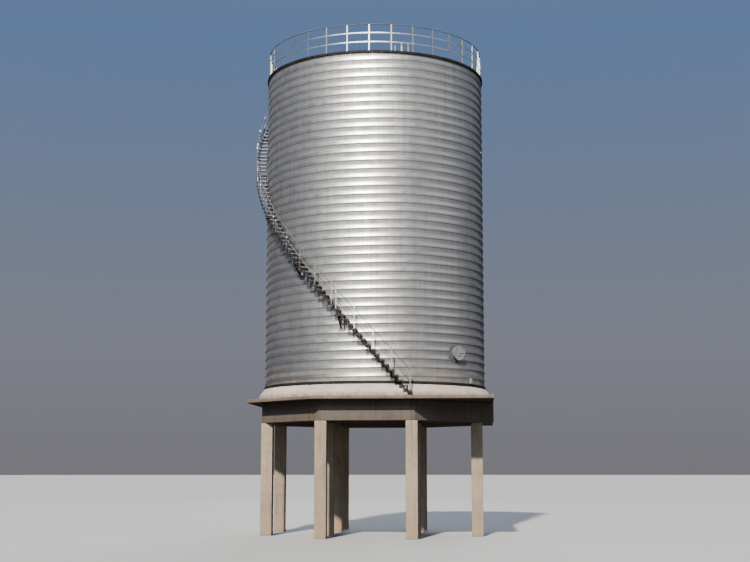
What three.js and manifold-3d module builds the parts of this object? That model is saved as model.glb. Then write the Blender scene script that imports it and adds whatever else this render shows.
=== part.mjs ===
// A raised grain silo: a spiral-seam steel bin with a low cone roof and a wrap-round stair,
// standing on a reinforced concrete deck that is carried by twelve square columns.
// Millimetres, +Z up. The deck's two beam stubs point along +X, and the stair foot is on the -Y side.
import * as THREE from 'three';
import { mergeVertices } from 'three/addons/utils/BufferGeometryUtils.js';
import Module from 'manifold-3d';

const wasm = await Module();
wasm.setup();

// Driving dimensions
const shellRadius = 4900;
const shellHeight = 14200;
const shellWall = 40;
const shellSegments = 8;
const facetsPerSegment = 6;

const columnSize = 500;
const columnHeight = 4800;
const beamWidth = 500;
const floorBeamWidth = 400;
const beamDepth = 850;
const slabThickness = 150;
const slabApothem = 5400;
const deckCutReach = 5260;
const curbHeight = 500;
const curbFootRadius = 5200;

const riserCount = 70;
const treadAngle = 2.05;
const stairStartAngle = -69;
const stairInner = 4970;
const stairOuter = 5430;
const treadThickness = 35;
const treadSunk = 3;
const treadLap = 20;
const stringerWall = 12;
const stringerThroat = 130;
const handrailHeight = 950;

const railHeight = 1200;
const railRadius = 4840;
const railPostAngle = 11.25;
const railFirstPost = -77.2;
const railBays = 32;

const roofSlope = 12;
const crownRadius = 350;

const manholeAngle = -41.25;
const manholeHeight = 1360;

// Gap between pieces that rest on or against each other
const seat = 0.3;

// Levels worked out from the driving dimensions
const slabBottom = columnHeight + beamDepth;
const slabTop = slabBottom + slabThickness;
const shellBase = slabTop + curbHeight;
const rim = shellBase + shellHeight;
const riser = (rim - slabTop) / riserCount;
const facets = shellSegments * facetsPerSegment;
const facetAngle = 360 / facets;
const flatOfFacet = Math.cos(THREE.MathUtils.degToRad(facetAngle / 2));

const concrete = { color: 0xb9ab95, roughness: 0.9, metalness: 0 };
const galvanised = { color: 0xb6b8b6, roughness: 0.38, metalness: 0.9 };
const darkSteel = { color: 0x35332f, roughness: 0.65, metalness: 0.6 };
const paleSteel = { color: 0xc9cac6, roughness: 0.5, metalness: 0.7 };

const silo = new THREE.Group();

function addPiece(name, geometry, finish) {
  const mesh = new THREE.Mesh(geometry, new THREE.MeshStandardMaterial(finish));
  mesh.name = name;
  silo.add(mesh);
  return mesh;
}

// Solids: from a closed geometry to a manifold and back
function solidOf(geometry) {
  const bare = geometry.clone();
  bare.deleteAttribute('normal');
  bare.deleteAttribute('uv');
  const merged = mergeVertices(bare, 0.001);
  const vertProperties = new Float32Array(merged.attributes.position.array);
  const triVerts = new Uint32Array(merged.index.array);
  return new wasm.Manifold(new wasm.Mesh({ numProp: 3, vertProperties, triVerts }));
}

function geometryOf(solid) {
  const mesh = solid.getMesh();
  const geometry = new THREE.BufferGeometry();
  geometry.setAttribute('position', new THREE.BufferAttribute(new Float32Array(mesh.vertProperties), 3));
  geometry.setIndex(new THREE.BufferAttribute(new Uint32Array(mesh.triVerts), 1));
  geometry.computeVertexNormals();
  return geometry;
}

function joined(geometries) {
  return geometries.map(solidOf).reduce((whole, next) => whole.add(next));
}

// A point on a circle round the silo's axis
function polar(radius, degrees, z = 0) {
  const angle = THREE.MathUtils.degToRad(degrees);
  return new THREE.Vector3(radius * Math.cos(angle), radius * Math.sin(angle), z);
}

// The angle in degrees that an arc of the given length covers
function arcDegrees(length, radius) {
  return THREE.MathUtils.radToDeg(length / radius);
}

// Upright prism on a plan outline
function prism(points, bottom, top) {
  const shape = new THREE.Shape(points.map((point) => new THREE.Vector2(point.x, point.y)));
  const geometry = new THREE.ExtrudeGeometry(shape, { depth: top - bottom, bevelEnabled: false });
  return geometry.translate(0, 0, bottom);
}

// Upright block between two radii and two angles
function ringBlock(inner, outer, from, to, bottom, top, steps = 1) {
  const points = [];
  for (let i = 0; i <= steps; i += 1) {
    points.push(polar(outer, THREE.MathUtils.lerp(from, to, i / steps)));
  }
  for (let i = steps; i >= 0; i -= 1) {
    points.push(polar(inner, THREE.MathUtils.lerp(from, to, i / steps)));
  }
  return prism(points, bottom, top);
}

// Solid or ring turned round the silo's axis from (radius, height) points
function turned(profile) {
  const closed = [...profile, profile[0]].map(([radius, height]) => new THREE.Vector2(radius, height));
  return new THREE.LatheGeometry(closed, facets).rotateX(Math.PI / 2);
}

// Box of the given size, centred on (x, y) and standing on a level
function block(width, depth, height, x, y, bottom) {
  const corners = [[-1, -1], [1, -1], [1, 1], [-1, 1]].map(([sideX, sideY]) =>
    new THREE.Vector2(x + (sideX * width) / 2, y + (sideY * depth) / 2));
  return prism(corners, bottom, bottom + height);
}

// Box or tube that is drawn along +X from the axis, then turned to its angle
function turnedTo(geometry, degrees) {
  return geometry.rotateZ(THREE.MathUtils.degToRad(degrees));
}

// The shell's outer facets as a solid core, for cutting what sits against the wall
const shellCore = turned([
  [0, shellBase - curbHeight],
  [shellRadius + seat, shellBase - curbHeight],
  [shellRadius + seat, rim + curbHeight],
  [0, rim + curbHeight],
]);
const curbTopRadius = shellRadius + 60;
const curbShoulder = { radius: curbFootRadius - 50, drop: 250 };
const curbProfile = [
  [0, slabTop + seat],
  [curbFootRadius, slabTop + seat],
  [curbShoulder.radius, shellBase - curbShoulder.drop],
  [curbTopRadius, shellBase],
  [0, shellBase],
];

// Columns: eight under the shell's ring and four inside it, on one square grid
const columnReach = shellRadius * Math.cos(Math.PI / 8);
const columnOffset = shellRadius * Math.sin(Math.PI / 8);
const columnPlaces = {
  column_front_left: [-columnOffset, -columnReach],
  column_front_right: [columnOffset, -columnReach],
  column_rear_left: [-columnOffset, columnReach],
  column_rear_right: [columnOffset, columnReach],
  column_left_front: [-columnReach, -columnOffset],
  column_left_rear: [-columnReach, columnOffset],
  column_right_front: [columnReach, -columnOffset],
  column_right_rear: [columnReach, columnOffset],
  column_inner_front_left: [-columnOffset, -columnOffset],
  column_inner_front_right: [columnOffset, -columnOffset],
  column_inner_rear_left: [-columnOffset, columnOffset],
  column_inner_rear_right: [columnOffset, columnOffset],
};
for (const [name, [x, y]] of Object.entries(columnPlaces)) {
  addPiece(name, block(columnSize, columnSize, columnHeight, x, y, 0), concrete);
}

// Ring beam: an octagon over the eight outer columns, with two stubs out to the deck's cut edge
const ringOuter = columnReach + beamWidth / 2;
const ringInner = columnReach - beamWidth / 2;
const beamBottom = columnHeight + seat;
const beamHeight = beamDepth - 2 * seat;

function octagon(apothem) {
  const corners = [];
  for (let i = 0; i < 8; i += 1) {
    corners.push(polar(apothem / Math.cos(Math.PI / 8), 22.5 + 45 * i));
  }
  return corners;
}

function ringBeam() {
  const outside = solidOf(prism(octagon(ringOuter), beamBottom, beamBottom + beamHeight));
  const inside = solidOf(prism(octagon(ringInner), columnHeight - beamDepth, slabTop));
  const stubLength = deckCutReach - columnReach;
  const stubs = [-1, 1].map((side) =>
    solidOf(block(stubLength, floorBeamWidth, beamHeight,
      columnReach + stubLength / 2, side * columnOffset, beamBottom)));
  return outside.subtract(inside).add(stubs[0]).add(stubs[1]);
}
addPiece('ring_beam', geometryOf(ringBeam()), concrete);

// Floor beams: two each way, crossing over the inner columns
function floorBeams() {
  const span = 2 * (ringInner - seat);
  const alongX = (y) => block(span, floorBeamWidth, beamHeight, 0, y, beamBottom);
  const alongY = (x) => block(floorBeamWidth, span, beamHeight, x, 0, beamBottom);
  const cross = joined([alongX(-columnOffset), alongX(columnOffset), alongY(-columnOffset), alongY(columnOffset)]);
  const room = prism(octagon(ringInner - seat), beamBottom - beamDepth, slabTop);
  return cross.intersect(solidOf(room));
}
addPiece('floor_beams', geometryOf(floorBeams()), concrete);

// Deck slab: an octagon end on the left, cut square at the middle of the bay on the right
const slabCorner = slabApothem * Math.tan(Math.PI / 8);
addPiece('deck_slab', prism([
  new THREE.Vector2(deckCutReach, -slabApothem),
  new THREE.Vector2(deckCutReach, slabApothem),
  new THREE.Vector2(-slabCorner, slabApothem),
  new THREE.Vector2(-slabApothem, slabCorner),
  new THREE.Vector2(-slabApothem, -slabCorner),
  new THREE.Vector2(-slabCorner, -slabApothem),
], slabBottom, slabTop), concrete);
addPiece('curb', turned(curbProfile), concrete);

// Discharge outlet with its slide gate, between the floor beams
const outletTop = 900;
const outletNeck = 420;
const outletHeight = 420;
const gateFrame = { size: 560, height: 110 };
function outlet() {
  const hopper = new THREE.CylinderGeometry(outletTop / Math.SQRT2, outletNeck / Math.SQRT2, outletHeight, 4)
    .rotateX(Math.PI / 2)
    .rotateZ(Math.PI / 4)
    .translate(0, 0, slabBottom - seat - outletHeight / 2);
  const frameBottom = slabBottom - seat - outletHeight - gateFrame.height + 20;
  const frame = block(gateFrame.size, gateFrame.size, gateFrame.height, 0, 0, frameBottom);
  const slide = block(gateFrame.size, gateFrame.size * 0.7, 24, gateFrame.size * 0.45, 0, frameBottom + 40);
  return joined([hopper, frame, slide]);
}
addPiece('discharge_outlet', geometryOf(outlet()), darkSteel);

// Shell: eight upright segments of the round wall, and the manhole's hole in one of them
const segmentAngle = 360 / shellSegments;
const eaveDepth = 30;
const neckRadius = 260;
const neckFacets = 24;
const jointAngle = arcDegrees(seat / 2, shellRadius);

// A cylinder whose axis points outwards from the shell at the manhole
function manholeDisc(radius, from, to) {
  const disc = new THREE.CylinderGeometry(radius, radius, to - from, neckFacets)
    .rotateZ(-Math.PI / 2)
    .translate((from + to) / 2, 0, shellBase + manholeHeight);
  return turnedTo(disc, manholeAngle);
}

for (let i = 0; i < shellSegments; i += 1) {
  const from = segmentAngle * i;
  const to = from + segmentAngle;
  let wall = solidOf(ringBlock(shellRadius - shellWall, shellRadius, from + jointAngle, to - jointAngle,
    shellBase + seat, rim - eaveDepth - seat, facetsPerSegment));
  const manholeTurn = THREE.MathUtils.euclideanModulo(manholeAngle, 360);
  if (manholeTurn > from && manholeTurn < to) {
    wall = wall.subtract(solidOf(manholeDisc(neckRadius + seat, shellRadius - 400, shellRadius + 400)));
  }
  addPiece(`shell_segment_${i + 1}`, geometryOf(wall), galvanised);
}

// Base ring and eave ring: the dark angles round the foot and the top of the shell
const baseRing = { width: 40, height: 120 };
addPiece('base_ring', turned([
  [shellRadius + seat, shellBase + seat],
  [shellRadius + baseRing.width, shellBase + seat],
  [shellRadius + baseRing.width, shellBase + baseRing.height],
  [shellRadius + seat, shellBase + baseRing.height],
]), darkSteel);

const eave = { outer: shellRadius + 60, inner: shellRadius - 200, drop: 120 };
addPiece('eave_ring', turned([
  [shellRadius + seat, rim - eave.drop],
  [eave.outer, rim - eave.drop],
  [eave.outer, rim],
  [eave.inner, rim],
  [eave.inner, rim - eaveDepth],
  [shellRadius + seat, rim - eaveDepth],
]), darkSteel);

// Roof: a low cone of sheets inside the eave ring, and the crown over its middle
const roofEdge = eave.inner - seat;
const roofRise = (roofEdge - crownRadius) * Math.tan(THREE.MathUtils.degToRad(roofSlope));
const roofWall = 40;
const roofTop = rim + roofRise;
addPiece('roof_cone', turned([
  [roofEdge, rim - roofWall],
  [roofEdge, rim],
  [crownRadius, roofTop],
  [crownRadius, roofTop - roofWall],
]), galvanised);

const crown = { collar: 180, lid: 50, overhang: 70 };
addPiece('roof_crown', turned([
  [0, roofTop - roofWall],
  [crownRadius - seat, roofTop - roofWall],
  [crownRadius - seat, roofTop + crown.collar],
  [crownRadius + crown.overhang, roofTop + crown.collar],
  [crownRadius + crown.overhang, roofTop + crown.collar + crown.lid],
  [0, roofTop + crown.collar + crown.lid],
]), darkSteel);

// Vent stubs beside the railing, on one foot plate that lies on the eave ring
const ventAngle = -71.5;
const ventPlate = { inner: shellRadius - 198, outer: shellRadius - 120, thickness: 16 };
const ventStubs = [
  { angle: -3.5, radius: 18, height: 330 },
  { angle: 0, radius: 36, height: 430 },
  { angle: 3.5, radius: 18, height: 360 },
];
function vents() {
  const plate = ringBlock(ventPlate.inner, ventPlate.outer, ventAngle - 5, ventAngle + 5,
    rim + seat, rim + ventPlate.thickness, 2);
  const middle = (ventPlate.inner + ventPlate.outer) / 2;
  const stubs = ventStubs.map((stub) => {
    const place = polar(middle, ventAngle + stub.angle, rim + ventPlate.thickness / 2 + stub.height / 2);
    return new THREE.CylinderGeometry(stub.radius, stub.radius, stub.height, 12)
      .rotateX(Math.PI / 2)
      .translate(place.x, place.y, place.z);
  });
  return joined([plate, ...stubs]);
}
addPiece('roof_vents', geometryOf(vents()), paleSteel);

// Tubes: round rails along arcs and helices, and upright posts
class Helix extends THREE.Curve {
  constructor(radius, from, to, bottom, top) {
    super();
    Object.assign(this, { radius, from, to, bottom, top });
  }

  getPoint(t, target = new THREE.Vector3()) {
    const angle = THREE.MathUtils.lerp(this.from, this.to, t);
    return target.copy(polar(this.radius, angle, THREE.MathUtils.lerp(this.bottom, this.top, t)));
  }
}

function tube(curve, tubeRadius, steps, sides = 6) {
  const section = new THREE.Shape();
  for (let i = 0; i < sides; i += 1) {
    const angle = (2 * Math.PI * i) / sides;
    const x = tubeRadius * Math.cos(angle);
    const y = tubeRadius * Math.sin(angle);
    if (i === 0) section.moveTo(x, y);
    else section.lineTo(x, y);
  }
  return new THREE.ExtrudeGeometry(section, { extrudePath: curve, steps, bevelEnabled: false });
}

function post(radius, degrees, bottom, top, postRadius, sides = 6) {
  const place = polar(radius, degrees, (bottom + top) / 2);
  return new THREE.CylinderGeometry(postRadius, postRadius, top - bottom, sides)
    .rotateX(Math.PI / 2)
    .translate(place.x, place.y, place.z);
}

// Roof railing: four panels of three rails on posts, with one bay open at the stair landing
const railTube = 24;
const postTube = 27;
const railLevels = [railHeight / 3, (2 * railHeight) / 3, railHeight - railTube];
const openBay = 19;
const panelBays = [8, 8, 8, 7];

function railingPanel(firstBay, bays) {
  const from = railFirstPost + railPostAngle * firstBay;
  const to = from + railPostAngle * bays;
  const inset = arcDegrees(postTube + seat, railRadius);
  const pieces = railLevels.map((level) =>
    tube(new Helix(railRadius, from, to - inset, rim + level, rim + level), railTube, bays));
  for (let bay = 0; bay <= bays; bay += 1) {
    const last = bay === bays;
    const angle = last ? to - 2 * inset : from + railPostAngle * bay;
    const closing = firstBay + bays === openBay + railBays;
    if (!last || closing) {
      pieces.push(post(railRadius, angle, rim + seat, rim + railHeight - railTube, postTube));
    }
  }
  return joined(pieces);
}
panelBays.reduce((bay, bays, index) => {
  addPiece(`roof_railing_${index + 1}`, geometryOf(railingPanel(bay, bays)), paleSteel);
  return bay + bays;
}, openBay + 1);

// Stair: cut-string flights that wrap clockwise up the shell
const flightTreads = [17, 17, 17, 18];
const treadLevel = (index) => slabTop + riser * (index + 1);
const treadStart = (index) => stairStartAngle - treadAngle * index;

// Bends a flat extrusion round the silo: x counts treads, y is height, depth goes inwards
function wrapped(geometry, outerRadius) {
  const position = geometry.attributes.position;
  for (let i = 0; i < position.count; i += 1) {
    const angle = treadStart(position.getX(i));
    const point = polar(outerRadius - position.getZ(i), angle, position.getY(i));
    position.setXYZ(i, point.x, point.y, point.z);
  }
  return geometry;
}

function stringer(outerRadius, first, count) {
  const underside = (step) => slabTop + riser * step - stringerThroat;
  const endGap = arcDegrees(seat, outerRadius) / treadAngle;
  const steps = [];
  for (let i = first; i < first + count; i += 1) {
    const end = i === first + count - 1 ? i + 1 - endGap : i + 1;
    const outline = new THREE.Shape([
      new THREE.Vector2(i, underside(i)),
      new THREE.Vector2(end, underside(end)),
      new THREE.Vector2(end, treadLevel(i)),
      new THREE.Vector2(i, treadLevel(i)),
    ]);
    const flat = new THREE.ExtrudeGeometry(outline, { depth: stringerWall, bevelEnabled: false });
    steps.push(wrapped(flat, outerRadius));
  }
  return steps;
}

function tread(index, isLast) {
  const lap = stringerWall / 2;
  const inset = arcDegrees(treadLap / 4, stairOuter);
  const back = treadStart(index + 1) + (isLast ? inset : -arcDegrees(treadLap, stairOuter));
  const top = treadLevel(index) - treadSunk;
  return ringBlock(stairInner + lap, stairOuter - lap, back, treadStart(index) - inset, top - treadThickness, top);
}

// Knee bracket: an arm and a strut from the wall to the strings of the stair, one at every eleventh tread
const bracket = { width: 70, height: 80, strut: 890, drop: 345, firstTread: 16, every: 11 };
function kneeBracket(angle, top) {
  const armEnd = stairOuter - stringerWall / 2;
  const armLength = armEnd - shellRadius + bracket.width;
  const arm = block(armLength, bracket.width, bracket.height, armEnd - armLength / 2, 0, top - bracket.height);
  const strut = new THREE.BoxGeometry(bracket.strut, bracket.width * 0.8, bracket.width * 0.8)
    .rotateY(-Math.PI / 4)
    .translate(armEnd - bracket.drop, 0, top - bracket.drop);
  return [turnedTo(arm, angle), turnedTo(strut, angle)];
}

// What the first flight stands clear of: the deck, and the curb out to its foot
const footSpace = turned([
  [0, 0],
  [2 * slabApothem, 0],
  [2 * slabApothem, slabTop + seat],
  [curbFootRadius + seat, slabTop + seat],
  [curbFootRadius + seat, shellBase + seat],
  [0, shellBase + seat],
]);

function flight(first, count) {
  const pieces = [
    ...stringer(stairOuter, first, count),
    ...stringer(stairInner + stringerWall, first, count),
  ];
  for (let i = 0; i < count; i += 1) {
    pieces.push(tread(first + i, i === count - 1));
  }
  for (let at = bracket.firstTread; at < first + count; at += bracket.every) {
    if (at > first) {
      const top = treadLevel(at - 1) - stringerThroat + bracket.height / 2;
      pieces.push(...kneeBracket(treadStart(at), top));
    }
  }
  const whole = joined(pieces).subtract(solidOf(shellCore));
  return first === 0 ? whole.subtract(solidOf(footSpace)) : whole;
}

// Handrail of one flight: posts on the treads, a top rail and a middle rail
const handTube = 22;
const handPost = 18;
const handRadius = stairOuter - 34;
const postEvery = 4;
const railStepTreads = 3;
function handrail(first, count) {
  const startAngle = treadStart(first) - treadAngle / 2;
  const endGap = arcDegrees(handPost + handTube + seat, handRadius);
  const endAngle = treadStart(first + count) - treadAngle / 2 + endGap;
  const climb = (angle) => slabTop + (riser * (stairStartAngle - angle)) / treadAngle + riser / 2;
  const rail = (height) => tube(new Helix(handRadius, startAngle, endAngle,
    climb(startAngle) + height, climb(endAngle) + height), handTube, Math.ceil(count / railStepTreads));
  const pieces = [rail(handrailHeight - handTube), rail(handrailHeight / 2)];
  for (let i = 0; i < count; i += postEvery) {
    const foot = treadLevel(first + i) - treadSunk;
    pieces.push(post(handRadius, startAngle - treadAngle * i, foot + seat, foot + handrailHeight - handTube, handPost));
  }
  return joined(pieces);
}

let firstTread = 0;
flightTreads.forEach((count, index) => {
  addPiece(`stair_flight_${index + 1}`, geometryOf(flight(firstTread, count)), darkSteel);
  addPiece(`stair_handrail_${index + 1}`, geometryOf(handrail(firstTread, count)), paleSteel);
  firstTread += count;
});

// Landing at the rim, behind the open bay of the roof railing
const landing = { plate: 45, drop: 3, kerb: 60, depth: 150 };
const landingFrom = treadStart(riserCount - 1);
const landingTo = railFirstPost + railPostAngle * openBay - 360;
const landingLap = 0.1;
function landingDeck() {
  const steps = 4;
  const start = landingFrom - arcDegrees(seat, stairOuter);
  const top = rim - landing.drop;
  const plate = ringBlock(shellRadius, stairOuter - stringerWall, start, landingTo, top - landing.plate, top, steps);
  const edge = ringBlock(stairOuter - 2 * stringerWall, stairOuter, start - landingLap, landingTo + landingLap,
    rim - landing.depth, rim + landing.kerb, steps);
  const brackets = [0.2, 0.8].flatMap((share) =>
    kneeBracket(THREE.MathUtils.lerp(start, landingTo, share), top - landing.plate + bracket.height / 4));
  const eaveSpace = turned([
    [0, rim - eave.drop - seat],
    [eave.outer + seat, rim - eave.drop - seat],
    [eave.outer + seat, rim + railHeight],
    [0, rim + railHeight],
  ]);
  return joined([plate, edge, ...brackets])
    .subtract(solidOf(shellCore))
    .subtract(solidOf(eaveSpace));
}
addPiece('stair_landing', geometryOf(landingDeck()), darkSteel);

function landingRail() {
  const radius = handRadius - stringerWall - seat;
  const from = landingFrom - treadAngle / 2;
  const to = landingTo + arcDegrees(2 * handTube, radius);
  const levels = [handrailHeight / 2, handrailHeight - handTube];
  const railReturn = eave.outer + 60;
  const landingTop = rim - landing.drop;
  const pieces = [];
  for (const level of levels) {
    pieces.push(tube(new Helix(radius, from, to, rim + level, rim + level), handTube, 6));
    const closing = new THREE.LineCurve3(polar(radius, to, rim + level), polar(railReturn, to, rim + level));
    pieces.push(tube(closing, handTube, 1));
  }
  for (const share of [0, 0.5, 1]) {
    const angle = THREE.MathUtils.lerp(from, to, share);
    pieces.push(post(radius, angle, landingTop + seat, rim + handrailHeight - handTube, handPost));
  }
  pieces.push(post(railReturn, to, landingTop + seat, rim + handrailHeight - handTube, handPost));
  return joined(pieces);
}
addPiece('landing_rail', geometryOf(landingRail()), paleSteel);

// Manhole: a flanged neck through the wall and its bolted cover
const neckWall = 25;
const neckLength = 190;
const flange = { radius: 310, thickness: 20 };
const facetFlat = shellRadius * flatOfFacet;
function manholeNeck() {
  const neckEnd = facetFlat + neckLength;
  const bore = manholeDisc(neckRadius - neckWall, facetFlat - 400, neckEnd + 400);
  const tubeWall = manholeDisc(neckRadius, facetFlat - shellWall, neckEnd);
  const ring = manholeDisc(flange.radius, neckEnd - flange.thickness, neckEnd);
  return joined([tubeWall, ring]).subtract(solidOf(bore));
}
addPiece('manhole_neck', geometryOf(manholeNeck()), paleSteel);
const coverFace = facetFlat + neckLength + seat;
addPiece('manhole_cover', manholeDisc(flange.radius, coverFace, coverFace + flange.thickness), paleSteel);

// Small flanged stub at the shell's foot, standing on the curb
const stub = { angle: -30, width: 110, height: 230, reach: 55 };
function footStub() {
  const body = block(stub.reach + 60, stub.width, stub.height,
    shellRadius + baseRing.width + seat + stub.reach / 2, 0, shellBase + baseRing.height + seat);
  return solidOf(turnedTo(body, stub.angle)).subtract(solidOf(shellCore));
}
addPiece('wall_stub', geometryOf(footStub()), paleSteel);

// The origin is on the ground in the middle of the whole part's outline
const extent = new THREE.Box3().setFromObject(silo);
silo.position.set(-(extent.min.x + extent.max.x) / 2, -(extent.min.y + extent.max.y) / 2, -extent.min.z);
silo.updateMatrixWorld(true);

export default silo;
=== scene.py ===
import math
from contextlib import contextmanager

import bpy
from mathutils import Matrix, Vector


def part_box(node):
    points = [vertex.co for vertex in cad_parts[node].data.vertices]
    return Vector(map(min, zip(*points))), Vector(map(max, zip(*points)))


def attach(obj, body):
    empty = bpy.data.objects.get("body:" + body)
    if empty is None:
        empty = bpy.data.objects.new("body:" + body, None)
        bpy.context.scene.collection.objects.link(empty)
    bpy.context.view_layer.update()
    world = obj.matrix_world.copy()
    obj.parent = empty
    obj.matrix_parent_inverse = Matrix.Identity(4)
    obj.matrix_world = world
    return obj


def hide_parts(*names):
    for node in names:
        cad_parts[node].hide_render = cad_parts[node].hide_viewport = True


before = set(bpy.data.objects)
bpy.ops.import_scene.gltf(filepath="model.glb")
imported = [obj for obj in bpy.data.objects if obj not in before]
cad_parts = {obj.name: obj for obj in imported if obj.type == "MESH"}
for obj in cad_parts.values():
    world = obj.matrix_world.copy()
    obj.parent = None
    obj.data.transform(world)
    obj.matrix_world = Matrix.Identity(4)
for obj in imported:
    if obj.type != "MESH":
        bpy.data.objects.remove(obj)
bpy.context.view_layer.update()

# Places and levels taken from the frame, in metres
curb_low, curb_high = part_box("curb")
AXIS = Vector(((curb_low.x + curb_high.x) / 2, (curb_low.y + curb_high.y) / 2, 0.0))
DECK = curb_low.z
BASE = curb_high.z
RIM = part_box("eave_ring")[1].z
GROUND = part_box("column_front_left")[0].z

# Shell and roof: the shell's radius, the pitch and place of its spiral seam, and the roof's seams
SHELL_RADIUS = 4.884
PITCH = 0.365
SEAM_AZIMUTH = -85.45
SEAM_LEVEL = 0.67
SEAM_COUNT = 36

# Stair: it climbs clockwise, with its angles in degrees round the silo's axis
TREAD_COUNT = 70
TREAD_ANGLE = 2.05
STAIR_START = -69.0
STAIR_INNER = 4.97
STAIR_OUTER = 5.43
RISER = (RIM - DECK) / TREAD_COUNT
HAND_RADIUS = STAIR_OUTER - 0.034
HANDRAIL_HEIGHT = 0.95
FLIGHTS = (17, 17, 17, 18)

# Roof railing: bays in degrees, of which one is open where the stair lands
RAIL_RADIUS = 4.84
RAIL_BAY = 11.25
RAIL_FIRST = -77.2
OPEN_BAY = 19
PANEL_BAYS = (8, 8, 8, 7)

# Making: directions of a piece made along +X, the steps of a full turn, and how near doubles are merged
OUT = (1, 0, 0)
ACROSS = (0, 1, 0)
UP = (0, 0, 1)
ROUND_STEPS = 192
WELD = 0.0004


# Workshop: the steps that every piece is made with
def deselect():
    if bpy.context.mode != "OBJECT":
        bpy.ops.object.mode_set(mode="OBJECT")
    bpy.ops.object.select_all(action="DESELECT")


def take(piece):
    deselect()
    piece.select_set(True)
    bpy.context.view_layer.objects.active = piece


def edit(piece, mode="VERT"):
    take(piece)
    bpy.ops.object.mode_set(mode="EDIT")
    bpy.ops.mesh.select_mode(type=mode)


def edit_open_edges(piece):
    """Goes into edit mode with only the piece's open edges selected."""
    edit(piece, "EDGE")
    bpy.ops.mesh.select_all(action="DESELECT")
    bpy.ops.mesh.select_non_manifold()


@contextmanager
def whole(piece):
    """Edit mode with all of the piece selected."""
    edit(piece)
    bpy.ops.mesh.select_all(action="SELECT")
    yield
    bpy.ops.object.mode_set(mode="OBJECT")


def fix(piece):
    """Puts a piece's place, turn and size into its mesh."""
    take(piece)
    bpy.ops.object.transform_apply(location=True, rotation=True, scale=True)
    return piece


def settle(name):
    """Names the piece at hand and fixes it where it is."""
    piece = bpy.context.object
    piece.name = name
    piece.data.name = name
    return fix(piece)


def modify(piece, kind, **settings):
    """Adds a modifier with its settings and applies it."""
    take(piece)
    modifier = piece.modifiers.new(kind.lower(), kind)
    for key, value in settings.items():
        setattr(modifier, key, value)
    bpy.ops.object.modifier_apply(modifier=modifier.name)
    return piece


def join(name, parts):
    take(parts[0])
    for part in parts:
        part.select_set(True)
    if len(parts) > 1:
        bpy.ops.object.join()
    return settle(name)


def clean(piece):
    """Merges doubles and turns all faces outwards."""
    with whole(piece):
        bpy.ops.mesh.remove_doubles(threshold=WELD)
        bpy.ops.mesh.normals_make_consistent(inside=False)
    return piece


def cut_through(piece, place, normal=UP, **side):
    """Cuts a piece in the plane through place; side says which half to clear, if any."""
    with whole(piece):
        bpy.ops.mesh.bisect(plane_co=place, plane_no=normal, **side)


def smooth(piece, degrees=35):
    take(piece)
    bpy.ops.object.shade_smooth_by_angle(angle=math.radians(degrees))
    return piece


def on_axis(level):
    return AXIS + Vector((0, 0, level))


def polar(radius, degrees, z=0.0):
    angle = math.radians(degrees)
    return Vector((radius * math.cos(angle), radius * math.sin(angle), z))


def swing(piece, degrees, lift=0.0):
    """Turns a piece that was made along +X from the origin to its angle round the silo's axis."""
    piece.rotation_euler = (0, 0, math.radians(degrees))
    piece.location = on_axis(lift)
    return fix(piece)


def repeat_round(piece, count, degrees=None, lift=0.0, centre=AXIS, axis="Z", merge=False):
    """Repeats a piece round an axis, each copy turned and lifted from the last; with no degrees given, the
    copies go evenly all the way round."""
    step = bpy.data.objects.new("step", None)
    bpy.context.scene.collection.objects.link(step)
    turn = Matrix.Rotation(math.radians(degrees or 360 / count), 4, axis)
    centre = Vector(centre)
    step.matrix_world = Matrix.Translation(centre + Vector((0, 0, lift))) @ turn @ Matrix.Translation(-centre)
    bpy.context.view_layer.update()
    modify(piece, "ARRAY", count=count, use_relative_offset=False, use_object_offset=True,
           offset_object=step, use_merge_vertices=merge, merge_threshold=0.0005)
    bpy.data.objects.remove(step)
    return piece


def repeat_along(piece, count, step):
    """Repeats a piece in a straight row."""
    return modify(piece, "ARRAY", count=count, use_relative_offset=False, use_constant_offset=True,
                  constant_offset_displace=step)


def copy_of(piece, name):
    twin = bpy.data.objects.new(name, piece.data.copy())
    twin.data.name = name
    bpy.context.scene.collection.objects.link(twin)
    return twin


def bar(name, size, centre, turn=(0, 0, 0), edge=0.0, segments=1):
    """A block of the given size with eased edges."""
    bpy.ops.mesh.primitive_cube_add(size=1, location=centre, rotation=turn, scale=size)
    piece = settle(name)
    if edge:
        with whole(piece):
            bpy.ops.mesh.bevel(offset=edge, segments=segments, affect="EDGES")
    return piece


def draw_line(name, points, closed=True):
    """An outline drawn by extruding one vertex from point to point, and back to the first if it closes."""
    route = [*points, points[0]] if closed else points
    deselect()
    bpy.ops.mesh.primitive_plane_add(size=0.01, location=route[0])
    piece = settle(name)
    with whole(piece):
        bpy.ops.mesh.merge(type="CENTER")
        for start, end in zip(route, route[1:]):
            step = Vector(end) - Vector(start)
            bpy.ops.mesh.extrude_vertices_move(TRANSFORM_OT_translate={"value": step})
        if closed:
            bpy.ops.mesh.select_all(action="SELECT")
            bpy.ops.mesh.remove_doubles(threshold=0.0001)
    return piece


def plate(name, outline, depth):
    """A flat plate: the outline is filled and extruded by the depth vector."""
    piece = draw_line(name, outline)
    with whole(piece):
        bpy.ops.mesh.edge_face_add()
        bpy.ops.mesh.extrude_region_move(TRANSFORM_OT_translate={"value": depth})
    return clean(piece)


def turned(name, profile, centre, along=UP, steps=ROUND_STEPS):
    """A (radius, height) profile spun round the upright or the level axis at centre; it closes on itself
    unless it starts on the axis."""
    upright = along[2] > 0.5
    points = [Vector(centre) + Vector((r, 0, h) if upright else (h, 0, r)) for r, h in profile]
    piece = draw_line(name, points, closed=profile[0][0] > 0)
    with whole(piece):
        bpy.ops.mesh.spin(steps=steps, angle=math.tau, center=centre, axis=along)
    return clean(piece)


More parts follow.
